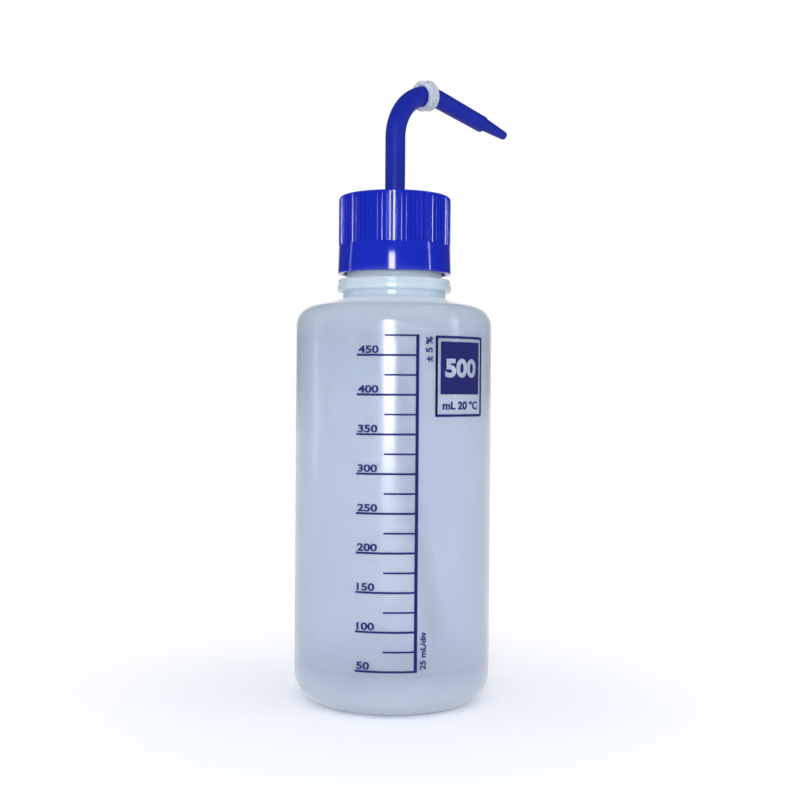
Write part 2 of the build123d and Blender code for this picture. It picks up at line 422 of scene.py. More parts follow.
def dish(rise, edge_r, edge_z):
    """Arc of the base's hollow from the axis out to its edge."""
    sag = rise - edge_z
    big_r = (edge_r**2 + sag**2) / (2 * sag)
    half = degrees(asin(edge_r / big_r))
    return arc(0, rise - big_r, big_r, 90, 90 - half, 14)


def bottle_outline():
    foot_out = body_r - base_corner_r
    foot_in = foot_out - foot_w
    dish_r = foot_in - foot_step
    corner_x = body_r - shoulder_corner_r
    neck_z = slope_height(shoulder_corner_r, neck_r)
    neck_in_r = neck_r - neck_wall
    neck_in_z = slope_height(shoulder_corner_r - wall, neck_in_r)
    bead_z = neck_z + neck_rise
    bead_mid = bead_z + bead_h / 2
    bead_top = bead_z + bead_h
    bore_r = finish_r - finish_wall
    upper_r = bead_r - bead_step
    outer = dish(push_up, dish_r, foot_step)
    outer += arc(foot_in, 0.4, 0.4, 225, 270, 4)
    outer += arc(foot_out, base_corner_r, base_corner_r, -90, 0, 26)
    outer += [(body_r, z) for z in spaced(base_corner_r, body_top, 24)[1:-1]]
    outer += arc(corner_x, body_top, shoulder_corner_r, 0, 90 - degrees(shoulder_slope), 24)
    outer += slope_fillet(neck_z)
    outer += arc(neck_r + edge_r, bead_z - edge_r, edge_r, 180, 90, 3)
    outer += arc(bead_r - bead_bevel, bead_z + bead_bevel, bead_bevel, -90, 0, 6)
    outer += arc(bead_r - edge_r, bead_mid - edge_r, edge_r, 0, 90, 4)
    small_r = edge_r / 2
    outer += arc(upper_r + small_r, bead_mid + small_r, small_r, 270, 180, 3)
    outer += arc(upper_r - bead_bevel, bead_top - bead_bevel, bead_bevel, 0, 90, 6)
    outer += arc(finish_r + edge_r, bead_top + edge_r, edge_r, 270, 180, 3)
    outer += arc(finish_r - rim_fillet_r, rim_z - rim_fillet_r, rim_fillet_r, 0, 90, 5)
    outer += arc(bore_r + rim_fillet_r, rim_z - rim_fillet_r, rim_fillet_r, 90, 180, 5)
    inner = [(bore_r, bead_mid), (neck_in_r, bead_z), (neck_in_r, neck_in_z)]
    inner_arc = shoulder_corner_r - wall
    inner += arc(corner_x, body_top, inner_arc, 90 - degrees(shoulder_slope), 0, 18)
    inner += [(body_r - wall, z) for z in spaced(body_top, base_corner_r, 24)[1:-1]]
    inner += arc(foot_out, base_corner_r, base_corner_r - wall, 0, -90, 20)
    inner += [(foot_in, wall)]
    inner += dish(push_up + wall, dish_r, foot_step + wall)[::-1]
    points = outer + inner
    points[0] = (0, points[0][1])
    points[-1] = (0, points[-1][1])
    return points


def slope_fillet(neck_z):
    """Small round between the shoulder's slope and the upright neck."""
    r = neck_fillet_r
    middle_z = neck_z + r / cos(shoulder_slope) - r * tan(shoulder_slope)
    return arc(neck_r + r, middle_z, r, 270 - degrees(shoulder_slope), 180, 6)


def parting_swell(turn, radius):
    """The mould's faint parting line, on the body's outside only."""
    if radius < body_r - base_corner_r:
        return 0
    off = abs((degrees(turn) - parting_heading + 90) % 180 - 90)
    return parting_h if off < 0.01 and radius > body_r - 0.01 else 0


def bottle_turns():
    """Even steps, with three narrow ones at each parting line."""
    turns = {round(2 * pi * i / 200, 6) for i in range(200)}
    half = parting_w / 2 / body_r
    for heading in (parting_heading, parting_heading + 180):
        middle = radians(heading) % (2 * pi)
        turns = {t for t in turns if abs(t - middle) > 1.5 * half}
        turns |= {middle - half, middle, middle + half}
    return sorted(turns)


def make_bottle():
    rings = turned_rings(bottle_outline())
    shell = skin("bottle_wall", rings, bottle_turns(), False, parting_swell)
    ridge = thread_ridge(
        "neck_thread", finish_r, finish_r + thread_depth, neck_thread_z, neck_turns
    )
    mesh = joined("bottle_shell", shell, ridge)
    # Per point: how cloudy the wall is, which also sets how much of the painted bluer, brighter
    # wall colour is mixed in
    milk_and_painted_light = mesh.attributes.new("milk_and_painted_light", "FLOAT", "POINT")
    for v in mesh.vertices:
        milk_and_painted_light.data[v.index].value = milk_and_painted_light_at(v.co.z / MM)
    return new_piece("bottle_shell", mesh)


def milk_and_painted_light_at(z):
    """How cloudy the wall is at a height: the thick neck and the base's corner more so. The same
    share brings in the painted bluer, brighter wall colour there.
    """
    for (low, a), (high, b) in zip(milk_and_painted_light_stops, milk_and_painted_light_stops[1:]):
        if z < high:
            return a + (b - a) * max(0.0, z - low) / (high - low)
    return milk_and_painted_light_stops[-1][1]


# Cap


def cap_outline():
    root_r = cap_r - rib_h
    rise = degrees(acos((root_r - (cap_r - cap_edge_r)) / cap_edge_r))
    top_edge = arc(cap_r - cap_edge_r, cap_top - cap_edge_r, cap_edge_r, rise, 90, 8)
    foot = arc(mouth_r - mouth_edge_r, cap_z + mouth_edge_r, mouth_edge_r, -90, 0, 4)
    band = arc(cap_r - band_edge_r, band_top - band_edge_r, band_edge_r, 0, 90, 3)
    return (
        [(skirt_in_r + mouth_bevel, cap_z)]
        + foot
        + band
        + [(root_r, band_top)]
        + top_edge
        + [
            (socket_r + socket_bevel, cap_top),
            (socket_r, cap_top - socket_bevel),
            (socket_r, boss_z),
            (boss_r, boss_z),
            (boss_r, cap_under),
            (skirt_in_r, cap_under),
            (skirt_in_r, cap_z + mouth_bevel),
        ]
    )


def rib_mesh():
    """One rib: a rounded ridge up the side that runs out on the cap's top edge."""
    half = (2 * pi * cap_r / rib_count - groove_w) / 2
    round_r = rib_round_r
    root = cap_r - rib_h - rib_sunk
    halfway = band_top + 8.0
    side = [(cap_r, band_top), (cap_r, halfway), (cap_r, cap_top - cap_edge_r)]
    rise = degrees(acos((cap_r - rib_h - (cap_r - cap_edge_r)) / cap_edge_r))
    side += arc(cap_r - cap_edge_r, cap_top - cap_edge_r, cap_edge_r, 6, rise + 6, 7)
    bm = bmesh.new()
    rows = []
    for out, up in side:
        corner = [(root, -half - rib_foot_w), (out - round_r, -half)]
        for t in (radians(30), radians(60), radians(90)):
            corner.append((out - round_r * (1 - sin(t)), -half + round_r * (1 - cos(t))))
        section = corner + [(r, -s) for r, s in reversed(corner)]
        section = [(max(r, root), s) for r, s in section]
        rows.append([bm.verts.new((r * MM, s * MM, up * MM)) for r, s in section])
    for low, high in zip(rows, rows[1:]):
        for i in range(len(low)):
            j = (i + 1) % len(low)
            bm.faces.new([low[i], low[j], high[j], high[i]])
    bm.faces.new(rows[0][::-1])
    bm.faces.new(rows[-1])
    return finished("rib", bm)


def ribs_tree():
    """Sets one rib round the cap, as often as its count says."""
    kinds = {"Rib": "Geometry", "Rib count": "Int", "Finish": "Material"}
    tree, given, names = new_tree("ribs_round_cap", kinds, "Ribs")
    points = add_node(tree, "GeometryNodePoints", inputs={"Count": given["Rib count"]})
    index = add_node(tree, "GeometryNodeInputIndex")
    share = add_node(
        tree,
        "ShaderNodeMath",
        {"operation": "DIVIDE"},
        {0: index.outputs[0], 1: given["Rib count"]},
    )
    turn = add_node(
        tree, "ShaderNodeMath", {"operation": "MULTIPLY"}, {0: share.outputs[0], 1: 2 * pi}
    )
    round_axis = add_node(tree, "ShaderNodeCombineXYZ", inputs={"Z": turn.outputs[0]})
    spread = add_node(
        tree,
        "GeometryNodeInstanceOnPoints",
        inputs={
            "Points": points.outputs[0],
            "Instance": given["Rib"],
            "Rotation": round_axis.outputs[0],
        },
    )
    real = add_node(tree, "GeometryNodeRealizeInstances", inputs={"Geometry": spread.outputs[0]})
    painted = add_node(
        tree,
        "GeometryNodeSetMaterial",
        inputs={"Geometry": real.outputs[0], "Material": given["Finish"]},
    )
    add_node(tree, "NodeGroupOutput", inputs={"Ribs": painted.outputs[0]})
    return tree, names


def run_tree(name, start_mesh, tree, names, values):
    """A piece with the plain mesh that a geometry tree makes of a mesh."""
    piece = new_piece(name, start_mesh)
    modifier = piece.modifiers.new("nodes", "NODES")
    modifier.node_group = tree
    for socket, value in values.items():
        modifier[names[socket]] = value
    piece.update_tag()
    depsgraph = bpy.context.evaluated_depsgraph_get()
    result = bpy.data.meshes.new_from_object(piece.evaluated_get(depsgraph))
    piece.modifiers.clear()
    piece.data = result
    result.shade_smooth()
    result.set_sharp_from_angle(angle=SMOOTH_UNDER)
    return piece


# Spout, collar, tip and dip tube


def on_bend(turned):
    """Middle of the bend after so many degrees."""
    return bend_r * (1 - cos(radians(turned))), bend_z + bend_r * sin(radians(turned))


def past_bend(along, rise=0.0):
    """Point of the nozzle's axis so far past the bend, set up by rise across it."""
    out, up = on_bend(90 + droop)
    fall = radians(droop)
    return out + along * cos(fall) + rise * sin(fall), up - along * sin(fall) + rise * cos(fall)


def spout_rings():
    foot_z = cap_top + foot_gap
    to_collar = 90 - collar_back
    edge = 0.15
    outline = [
        (spigot_r - spout_bevel, spigot_top - spigot_len),
        (spigot_r, spigot_top - spigot_len + spout_bevel),
        (spigot_r, spigot_top),
        (stop_r - spout_bevel, spigot_top),
        (stop_r, spigot_top + spout_bevel),
        (stop_r, spigot_top + stop_h),
        (tube_r, spigot_top + stop_h),
        (tube_r, foot_z),
        (tube_r + foot_flare - 0.05, foot_z),
        (tube_r + foot_flare, foot_z + foot_lip),
    ]
    for t in spaced(radians(15), radians(90), 5):
        rise = foot_lip + foot_flare_h * (1 - cos(t))
        outline.append((tube_r + foot_flare * (1 - sin(t)), foot_z + rise))
    rings = turned_rings(outline)
    rings += [ring(*on_bend(t), 90 - t, tube_r) for t in spaced(0, to_collar, 26)]
    rings += [ring(*on_bend(t), 90 - t, nozzle_r) for t in spaced(to_collar, 90 + droop, 8)]
    for along in spaced(0, nozzle_len - edge, 6):
        radius = nozzle_r + (nozzle_end_r - nozzle_r) * along / nozzle_len
        rings.append(ring(*past_bend(along), -droop, radius))
    rings.append(ring(*past_bend(nozzle_len), -droop, nozzle_end_r - edge))
    rings.append(ring(*past_bend(nozzle_len), -droop, nozzle_bore_r))
    rings.append(ring(*past_bend(0), -droop, nozzle_bore_r))
    rings += [ring(*on_bend(t), 90 - t, nozzle_bore_r) for t in spaced(90 + droop, to_collar, 6)]
    rings += [ring(*on_bend(t), 90 - t, tube_bore_r) for t in spaced(to_collar, 0, 18)]
    rings += turned_rings(
        [
            (tube_bore_r, spigot_top),
            (spigot_bore_r, spigot_top),
            (spigot_bore_r, spigot_top - spigot_len),
        ]
    )
    return rings


def collar_rings():
    """A straight ring with two rims, square to the bend where it sits."""
    middle = on_bend(90 - collar_back)
    half = collar_len / 2
    outline = arc(collar_r - collar_edge_r, -half + collar_edge_r, collar_edge_r, -90, 0, 5)
    for t in spaced(0, 180, 6):
        dip = (1 - cos(radians(t))) / 2
        inward = collar_rim_w * (0.7 + 0.5 * t / 180)
        outline.append((collar_r - collar_waist * dip, -half + inward))
    outline += [(collar_r - collar_waist, 0)] + [(r, -z) for r, z in reversed(outline)]
    mouth = collar_in_r + collar_bevel
    outline += [(mouth, half), (collar_in_r, half - collar_bevel)]
    outline += [(collar_in_r, -half + collar_bevel), (mouth, -half)]
    climb = radians(collar_back)
    rings = []
    for r, along in outline:
        out = middle[0] + along * cos(climb)
        up = middle[1] + along * sin(climb)
        rings.append(ring(out, up, collar_back, r))
    return rings


def tip_rings():
    taper = (tip_r - tip_end_r) / tip_len
    nose = tip_len - tip_nose_r
    rings = [
        (-plug_len, plug_bore_r, tip_rise),
        (-plug_len, plug_r - 0.2, 0),
        (-plug_len + 0.2, plug_r, 0),
        (0, plug_r, 0),
        (0, tip_r - 0.15, tip_rise),
        (0.15, tip_r, tip_rise),
    ]
    for along in spaced(0.5, nose, 8):
        rings.append((along, tip_r - taper * along, tip_rise))
    nose_r = tip_r - taper * nose
    for t in spaced(15, 90, 5):
        along = nose + tip_nose_r * sin(radians(t))
        rings.append((along, nose_r - tip_nose_r * (1 - cos(radians(t))), tip_rise))
    rings += [
        (tip_len, jet_r, tip_rise),
        (tip_len - jet_len, jet_r, tip_rise),
        (tip_len - jet_len, plug_bore_r, tip_rise),
    ]
    return [ring(*past_bend(nozzle_len + at, rise), -droop, r) for at, r, rise in rings]


def dip_rings():
    """Straight on the spigot, then one arc that leaves it upright and ends in the corner."""
    low = spigot_top - spigot_len
    drop = low - dip_end_h
    big_r = (dip_lean**2 + drop**2) / (2 * dip_lean)
    whole = degrees(asin(drop / big_r))
    path = [(0, spigot_top, -90)]
    for t in spaced(0, whole, 60):
        path.append((big_r * (1 - cos(radians(t))), low - big_r * sin(radians(t)), -90 + t))
    outer = [ring(out, up, facing, dip_r, dip_heading) for out, up, facing in path]
    inner = [ring(out, up, facing, dip_in_r, dip_heading) for out, up, facing in reversed(path)]
    return outer + inner


# Print


def wrap_group():
    """Wraps flat print round the body: x runs along it, y outwards and z up."""
    kinds = {"Flat print": "Geometry", "Body radius": "Float", "Heading": "Float"}
    tree, given, _ = new_tree("wrap_on_body", kinds, "Print")
    place = add_node(tree, "GeometryNodeInputPosition")
    flat = add_node(tree, "ShaderNodeSeparateXYZ", inputs={0: place.outputs[0]}).outputs
    along = add_node(
        tree, "ShaderNodeMath", {"operation": "DIVIDE"}, {0: flat["X"], 1: given["Body radius"]}
    )
    turn = add_node(
        tree, "ShaderNodeMath", {"operation": "ADD"}, {0: along.outputs[0], 1: given["Heading"]}
    )
    out = add_node(
        tree, "ShaderNodeMath", {"operation": "ADD"}, {0: flat["Y"], 1: given["Body radius"]}
    )
    cosine = add_node(tree, "ShaderNodeMath", {"operation": "COSINE"}, {0: turn.outputs[0]})
    sine = add_node(tree, "ShaderNodeMath", {"operation": "SINE"}, {0: turn.outputs[0]})
    x, y = [
        add_node(
            tree, "ShaderNodeMath", {"operation": "MULTIPLY"}, {0: out.outputs[0], 1: part}
        ).outputs[0]
        for part in (cosine.outputs[0], sine.outputs[0])
    ]
    wrapped = add_node(tree, "ShaderNodeCombineXYZ", inputs={"X": x, "Y": y, "Z": flat["Z"]})
    moved = add_node(
        tree,
        "GeometryNodeSetPosition",
        inputs={"Geometry": given["Flat print"], "Position": wrapped.outputs[0]},
    )
    add_node(tree, "NodeGroupOutput", inputs={"Print": moved.outputs[0]})
    return tree


def print_tree(wrap):
    """Wraps a flat mesh and gives it its ink."""
    kinds = {
        "Flat print": "Geometry",
        "Body radius": "Float",
        "Heading": "Float",
        "Ink": "Material",
    }
    tree, given, names = new_tree("print_on_body", kinds, "Print")
    wrapped = add_node(
        tree,
        "GeometryNodeGroup",
        {"node_tree": wrap},
        {
            "Flat print": given["Flat print"],
            "Body radius": given["Body radius"],
            "Heading": given["Heading"],
        },
    )
    real = add_node(tree, "GeometryNodeRealizeInstances", inputs={"Geometry": wrapped.outputs[0]})
    painted = add_node(
        tree,
        "GeometryNodeSetMaterial",
        inputs={"Geometry": real.outputs[0], "Material": given["Ink"]},
    )
    add_node(tree, "NodeGroupOutput", inputs={"Print": painted.outputs[0]})
    return tree, names


def scale_tree(wrap):
    """The scale: a bar, and a line at each mark, every second one short."""
    kinds = {
        "Body radius": "Float",
        "Heading": "Float",
        "Lowest mark": "Float",
        "Mark step": "Float",
        "Mark count": "Int",
        "Long line": "Float",
        "Short line": "Float",
        "Long line width": "Float",
        "Short line width": "Float",
        "Bar width": "Float",
        "Bar height": "Float",
        "Ink thickness": "Float",
        "Ink": "Material",
    }
    tree, given, names = new_tree("scale_on_body", kinds, "Scale")
    half_ink = add_node(
        tree, "ShaderNodeMath", {"operation": "MULTIPLY"}, {0: given["Ink thickness"], 1: 0.5}
    ).outputs[0]
    start = add_node(
        tree, "ShaderNodeCombineXYZ", inputs={"Y": half_ink, "Z": given["Lowest mark"]}
    )
    step = add_node(tree, "ShaderNodeCombineXYZ", inputs={"Z": given["Mark step"]})
    marks = add_node(
        tree,
        "GeometryNodeMeshLine",
        {"mode": "OFFSET"},
        {
            "Count": given["Mark count"],
            "Start Location": start.outputs[0],
            "Offset": step.outputs[0],
        },
    )
    index = add_node(tree, "GeometryNodeInputIndex")
    odd = add_node(
        tree, "ShaderNodeMath", {"operation": "FLOORED_MODULO"}, {0: index.outputs[0], 1: 2.0}
    ).outputs[0]
    line_len = add_node(
        tree,
        "GeometryNodeSwitch",
        {"input_type": "FLOAT"},
        {"Switch": odd, "False": given["Long line"], "True": given["Short line"]},
    ).outputs[0]
    line_w = add_node(
        tree,
        "GeometryNodeSwitch",
        {"input_type": "FLOAT"},
        {"Switch": odd, "False": given["Long line width"], "True": given["Short line width"]},
    ).outputs[0]
    line_size = add_node(
        tree,
        "ShaderNodeCombineXYZ",
        inputs={"X": line_len, "Y": given["Ink thickness"], "Z": line_w},
    )
    unit = add_node(tree, "GeometryNodeMeshCube", inputs={"Vertices X": 40})
    to_left = add_node(
        tree,
        "GeometryNodeTransform",
        inputs={"Geometry": unit.outputs[0], "Translation": (-0.5, 0, 0)},
    )
    lines = add_node(
        tree,
        "GeometryNodeInstanceOnPoints",
        inputs={
            "Points": marks.outputs[0],
            "Instance": to_left.outputs[0],
            "Scale": line_size.outputs[0],
        },
    )
    bar_size = add_node(
        tree,
        "ShaderNodeCombineXYZ",
        inputs={"X": given["Bar width"], "Y": given["Ink thickness"], "Z": given["Bar height"]},
    )
    half_bar = add_node(
        tree, "ShaderNodeMath", {"operation": "MULTIPLY"}, {0: given["Bar height"], 1: 0.5}
    )
    bar_mid = add_node(
        tree,
        "ShaderNodeMath",
        {"operation": "ADD"},
        {0: half_bar.outputs[0], 1: given["Lowest mark"]},
    )
    half_line = add_node(
        tree,
        "ShaderNodeMath",
        {"operation": "MULTIPLY_ADD"},
        {0: given["Long line width"], 1: -0.5, 2: bar_mid.outputs[0]},
    )
    bar_place = add_node(
        tree, "ShaderNodeCombineXYZ", inputs={"Y": half_ink, "Z": half_line.outputs[0]}
    )
    bar = add_node(tree, "GeometryNodeMeshCube", inputs={"Vertices X": 5, "Vertices Z": 2})
    bar_set = add_node(
        tree,
        "GeometryNodeTransform",
        inputs={
            "Geometry": bar.outputs[0],
            "Translation": bar_place.outputs[0],
            "Scale": bar_size.outputs[0],
        },
    )
    both = add_node(tree, "GeometryNodeJoinGeometry")
    real = add_node(tree, "GeometryNodeRealizeInstances", inputs={"Geometry": lines.outputs[0]})
    tree.links.new(real.outputs[0], both.inputs[0])
    tree.links.new(bar_set.outputs[0], both.inputs[0])
    wrapped = add_node(
        tree,
        "GeometryNodeGroup",
        {"node_tree": wrap},
        {
            "Flat print": both.outputs[0],
            "Body radius": given["Body radius"],
            "Heading": given["Heading"],
        },
    )
    painted = add_node(
        tree,
        "GeometryNodeSetMaterial",
        inputs={"Geometry": wrapped.outputs[0], "Material": given["Ink"]},
    )
    add_node(tree, "NodeGroupOutput", inputs={"Scale": painted.outputs[0]})
    return tree, names


def lettering(words, height, left, base, upwards=False, stretch=1.0, weight=0.03):
    """Flat words of a height, x along the body and y up, from their left and lower edges."""
    font = bpy.data.curves.new("words", "FONT")
    font.body = words
    font.offset = weight
    holder = new_piece("words", font)
    depsgraph = bpy.context.evaluated_depsgraph_get()
    mesh = bpy.data.meshes.new_from_object(holder.evaluated_get(depsgraph))
    bpy.data.objects.remove(holder)
    low, high = corners_of(mesh)
    grow = height / (high.y - low.y)
    mesh.transform(Matrix.Diagonal((grow * stretch, grow, 1, 1)))
    if upwards:
        mesh.transform(Matrix.Rotation(pi / 2, 4, "Z"))
    low, high = corners_of(mesh)
    mesh.transform(Matrix.Translation((left - low.x, base - low.y, 0)))
    return mesh


def centred(mesh):
    low, high = corners_of(mesh)
    mesh.transform(Matrix.Translation((-(low.x + high.x) / 2, 0, 0)))
    return mesh


def corners_of(mesh):
    return [
        Vector([pick(v.co[i] for v in mesh.vertices) for i in range(3)]) for pick in (min, max)
    ]


def thick_print(name, flat_meshes):
    """Films with a back and a face from flat meshes (x along, y up), cut to bend."""
    bm = bmesh.new()
    for mesh in flat_meshes:
        bm.from_mesh(mesh)
    bmesh.ops.remove_doubles(bm, verts=bm.verts, dist=0.001)
    low = min(v.co.x for v in bm.verts)
    high = max(v.co.x for v in bm.verts)
    cut_step = 0.5
    for i in range(1, int((high - low) / cut_step) + 1):
        everything = bm.verts[:] + bm.edges[:] + bm.faces[:]
        at = (low + i * cut_step, 0, 0)
        bmesh.ops.bisect_plane(bm, geom=everything, plane_co=at, plane_no=(1, 0, 0), dist=1e-5)
    face_side = bmesh.ops.extrude_face_region(bm, geom=bm.faces[:])
    raised = [v for v in face_side["geom"] if isinstance(v, bmesh.types.BMVert)]
    for v in raised:
        v.co.z += ink_t
    for v in bm.verts:
        v.co = Vector((v.co.x, v.co.z, v.co.y)) * MM
    return finished(name, bm)


def slab(x0, x1, y0, y1):
    """A flat rectangle, x along the body and y up."""
    mesh = bpy.data.meshes.new("slab")
    mesh.from_pydata([(x0, y0, 0), (x1, y0, 0), (x1, y1, 0), (x0, y1, 0)], [], [(0, 1, 2, 3)])
    return mesh


def field_with_words(x0, x1, y0, y1, words):
    """A solid field with flat words left bare in it."""
    bm = bmesh.new()
    bm.from_mesh(words)
    edges = [(e.verts[0].index, e.verts[1].index) for e in bm.edges if e.is_boundary]
    letters = [[v.co.xy for v in f.verts] for f in bm.faces]
    points = [v.co.xy for v in bm.verts]
    count = len(points)
    points += [Vector(corner) for corner in ((x0, y0), (x1, y0), (x1, y1), (x0, y1))]
    bm.free()
    edges += [(count + i, count + (i + 1) % 4) for i in range(4)]
    points, _, faces = delaunay_2d_cdt(points, edges, [], 0, 1e-4)[:3]

    def bare(face):
        middle = sum((points[i] for i in face), Vector((0, 0))) / 3
        return any(
            intersect_point_tri_2d(middle, f[0], f[i], f[i + 1])
            for f in letters
            for i in range(1, len(f) - 1)
        )

    mesh = bpy.data.meshes.new("field")
    mesh.from_pydata([(p.x, p.y, 0) for p in points], [], [f for f in faces if not bare(f)])
    return mesh


# Finishes


def plastic_finish(name, colours, roughness, patterns, relief, milk_and_painted_tint=None, **shader):
    """The whole finish of a moulded or printed plastic.

    Each pattern is noise of a real size: millimetres, detail, and the stretch of its
    Object coordinates, or "rings" for one that runs round the bottle. The first one drifts
    the colour and the roughness. relief gives the depth in millimetres of the patterns with
    these numbers. The argument after relief gives the colours of the cloudy wall, bluer and
    brighter than the clear wall as painted light from the blue cap and the sheet, and the
    share of light that goes through the clear and the cloudy wall. All else goes to the
    shader as it is.
    """
    material = bpy.data.materials.new(name)
    material.use_nodes = True
    tree = material.node_tree
    tree.nodes.clear()
    place = add_node(tree, "ShaderNodeTexCoord").outputs["Object"]
    place = add_node(
        tree, "ShaderNodeVectorMath", {"operation": "SCALE"}, {0: place, "Scale": 1 / MM}
    ).outputs[0]

    made = []
    for size_mm, detail, stretch in patterns:
        if stretch == "rings":
            flat = add_node(
                tree, "ShaderNodeVectorMath", {"operation": "MULTIPLY"}, {0: place, 1: (1, 1, 0)}
            )
            out = add_node(
                tree, "ShaderNodeVectorMath", {"operation": "LENGTH"}, {0: flat.outputs[0]}
            )
            up = add_node(tree, "ShaderNodeSeparateXYZ", inputs={0: place})
            at = add_node(
                tree,
                "ShaderNodeCombineXYZ",
                inputs={"X": out.outputs["Value"], "Z": up.outputs["Z"]},
            )
        else:
            at = add_node(
                tree, "ShaderNodeVectorMath", {"operation": "MULTIPLY"}, {0: place, 1: stretch}
            )
        noise = add_node(
            tree,
            "ShaderNodeTexNoise",
            inputs={"Vector": at.outputs[0], "Scale": 1 / size_mm, "Detail": detail},
        )
        made.append(noise.outputs["Fac"])

    shades = [
        add_node(
            tree,
            "ShaderNodeMix",
            {"data_type": "RGBA"},
            {0: made[0], 6: linear(low), 7: linear(high)},
        ).outputs[2]
        for low, high in ([colours, milk_and_painted_tint[0]] if milk_and_painted_tint else [colours])
    ]
    shader["Base Color"] = shades[0]
    if milk_and_painted_tint:
        clear_share, thick_share = milk_and_painted_tint[1]
        milk_and_painted_light = add_node(tree, "ShaderNodeAttribute", {"attribute_name": "milk_and_painted_light"}).outputs["Fac"]
        # Where the wall is cloudy its colour turns to the bluer, brighter one: painted light from
        # the blue cap at the neck and from the sheet at the base
        shader["Base Color"] = add_node(
            tree, "ShaderNodeMix", {"data_type": "RGBA"}, {0: milk_and_painted_light, 6: shades[0], 7: shades[1]}
        ).outputs[2]
        shader["Transmission Weight"] = add_node(
            tree,
            "ShaderNodeMapRange",
            inputs={"Value": milk_and_painted_light, "To Min": clear_share, "To Max": thick_share},
        ).outputs[0]

    shader["Roughness"] = add_node(
        tree,
        "ShaderNodeMapRange",
        inputs={"Value": made[0], "To Min": roughness[0], "To Max": roughness[1]},
    ).outputs[0]
    for number, depth_mm in relief.items():
        bump = {"Height": made[number], "Strength": 1.0, "Distance": depth_mm * MM}
        if "Normal" in shader:
            bump["Normal"] = shader["Normal"]
        shader["Normal"] = add_node(tree, "ShaderNodeBump", inputs=bump).outputs[0]
    plastic = add_node(tree, "ShaderNodeBsdfPrincipled", inputs=shader)
    add_node(tree, "ShaderNodeOutputMaterial", inputs={"Surface": plastic.outputs[0]})
    return material


even = (1, 1, 1)


def milky_depth(metres):
    """Light that wanders equally far in all colours under the surface."""
    return {
        "Subsurface Weight": 1.0,
        "Subsurface Radius": (1.0, 1.0, 1.0),
        "Subsurface Scale": metres,
    }


def natural_ldpe():
    """Blow-moulded natural LDPE: milky and see-through at once, so that what is inside
    shows as a soft shade. Its satin face is a little wavy from the blowing, with faint
    rings from the mould and a fine grain."""
    return plastic_finish(
        "natural_ldpe",
        ("DAE3F5", "E6EDFC"),
        (0.17, 0.21),
        [(26.0, 3.0, even), (16.0, 1.0, (1, 1, 0.45)), (1.6, 2.0, "rings"), (0.9, 2.0, even)],
        {1: 0.12, 2: 0.008, 3: 0.004},
        # Bluer, brighter cloudy colours: painted light of the blue cap at the neck and of the
        # sheet at the base; the shares of light through the clear and the cloudy wall are real
        milk_and_painted_tint=(("D6E8FF", "E2F0FF"), (0.8, 0.2)),
        **{"IOR": 1.51, "Sheen Weight": 0.5, "Sheen Roughness": 0.35},
        **milky_depth(0.003),
    )


def blue_pp_gloss():
    """Injection-moulded polypropylene, pigmented through: a saturated blue under a
    polished face with faint flow marks."""
    return plastic_finish(
        "blue_pp_gloss",
        ("0F22AA", "182CBE"),
        (0.09, 0.13),
        [(9.0, 3.0, (1, 1, 0.3)), (0.35, 2.0, even)],
        {1: 0.003},
        IOR=1.49,
    )


def blue_pe_satin():
    """Injection-moulded polyethylene: the same pigment on a softer, satin face."""
    return plastic_finish(
        "blue_pe_satin",
        ("0B1E96", "1226A2"),
        (0.42, 0.52),
        [(7.0, 3.0, even), (0.4, 3.0, even)],
        {1: 0.008},
        **{"IOR": 1.51, "Specular IOR Level": 0.18},
    )


def natural_collar():
    """Natural polyethylene in a thick ring: whiter than the bottle, with soft edges."""
    return plastic_finish(
        "natural_collar",
        ("D8E2F8", "E8F0FF"),
        (0.25, 0.32),
        [(2.5, 2.0, even)],
        {},
        **{
            "IOR": 1.51,
            "Transmission Weight": 0.4,
            "Sheen Weight": 0.2,
            "Sheen Roughness": 0.35,
        },
        **milky_depth(0.002),
    )


def natural_tube():
    """Extruded natural tube: whiter than the bottle, with fine lines along it."""
    return plastic_finish(
        "natural_tube",
        ("F0F5FC", "FAFCFF"),
        (0.2, 0.3),
        [(0.8, 2.0, (1, 1, 0.05))],
        {0: 0.01},
        IOR=1.51,
        **milky_depth(0.002),
    )


def liner_foam():
    """Sheet of closed-cell foam: matt, with cells about half a millimetre across."""
    return plastic_finish(
        "liner_foam", ("E4E3DE", "F0F0EC"), (0.75, 0.9), [(0.5, 2.0, even)], {0: 0.05}
    )


def blue_ink():
    """Screen-printed ink: opaque, with the mesh's faint orange peel in its face."""
    return plastic_finish(
        "blue_ink",
        ("0B1160", "11186E"),
        (0.55, 0.7),
        [(0.5, 2.0, even)],
        {0: 0.01},
        **{"Specular IOR Level": 0.3},
    )


# Studio


def seen_or_lit(tree, seen, lit, kinds):
    """Shows one shader to these kinds of ray, and another to the rest."""
    path = add_node(tree, "ShaderNodeLightPath").outputs
    eye = path[kinds[0]]
    for kind in kinds[1:]:
        eye = add_node(
            tree, "ShaderNodeMath", {"operation": "MAXIMUM"}, {0: eye, 1: path[kind]}
        ).outputs[0]
    return add_node(
        tree, "ShaderNodeMixShader", inputs={0: eye, 1: lit.outputs[0], 2: seen.outputs[0]}
    )


